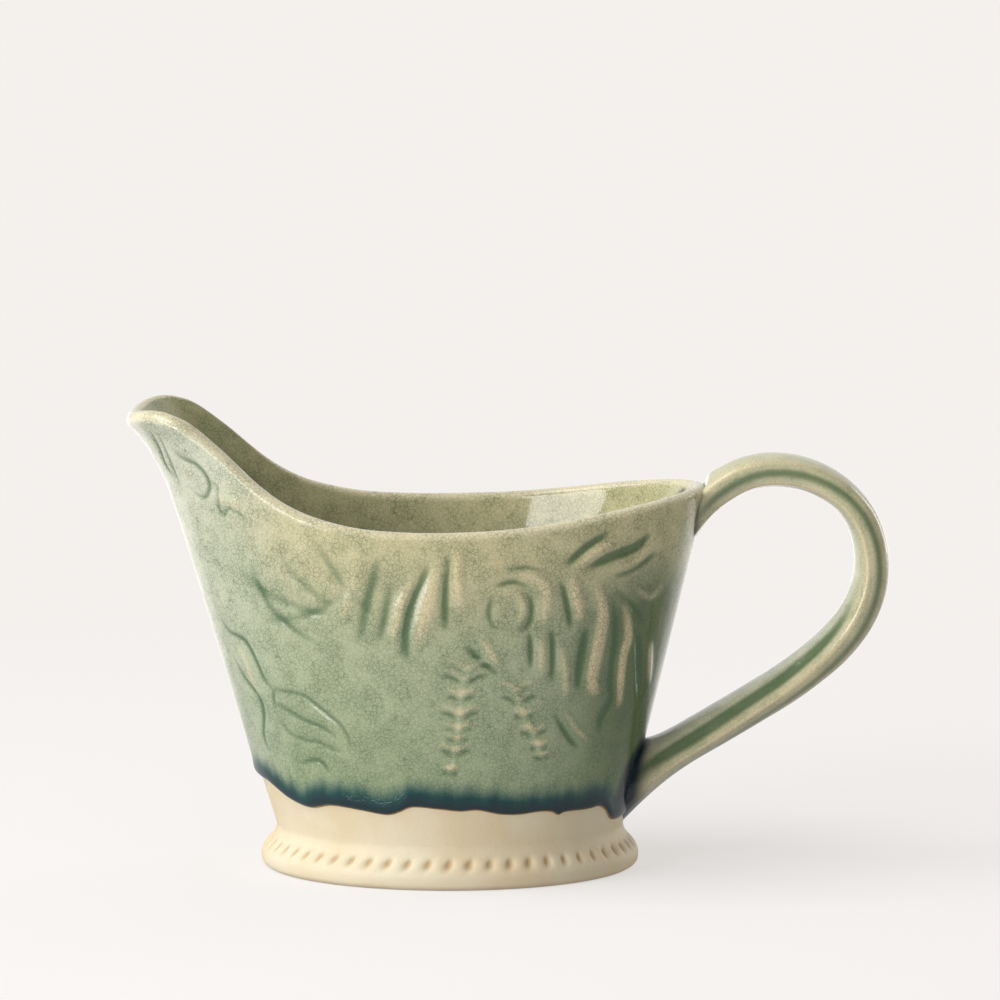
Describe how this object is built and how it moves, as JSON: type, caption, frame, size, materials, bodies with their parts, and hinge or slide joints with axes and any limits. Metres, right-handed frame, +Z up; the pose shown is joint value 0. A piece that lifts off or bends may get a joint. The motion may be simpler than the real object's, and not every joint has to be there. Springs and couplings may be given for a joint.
{
  "type": "gravy boat",
  "caption": "Hand-built oval stoneware gravy boat with a high open spout, a looped strap handle and a flared beaded foot, in green crackle glaze.",
  "frame": {"origin": "centre of the oval foot, on the plane that the boat stands on", "axes": "+X towards the handle, -X towards the spout, +Y to the left when the handle is behind, +Z up"},
  "size_m": [0.1972, 0.0876, 0.1195],
  "materials": {
    "stoneware_clay": "matte",
    "celadon_glaze": "gloss",
    "teal_glaze": "gloss"
  },
  "bodies": {
    "root": {"foot_ring": "stoneware_clay", "floor_slab": "stoneware_clay", "bowl_wall": "stoneware_clay", "floor_seam_coil": "stoneware_clay", "handle_strap": "stoneware_clay", "upper_handle_joint": "stoneware_clay", "lower_handle_joint": "stoneware_clay", "outer_glaze": "celadon_glaze", "rim_glaze": "celadon_glaze", "liner_glaze": "celadon_glaze", "handle_glaze": "celadon_glaze", "glaze_roll": "teal_glaze"}
  },
  "joints": []
}
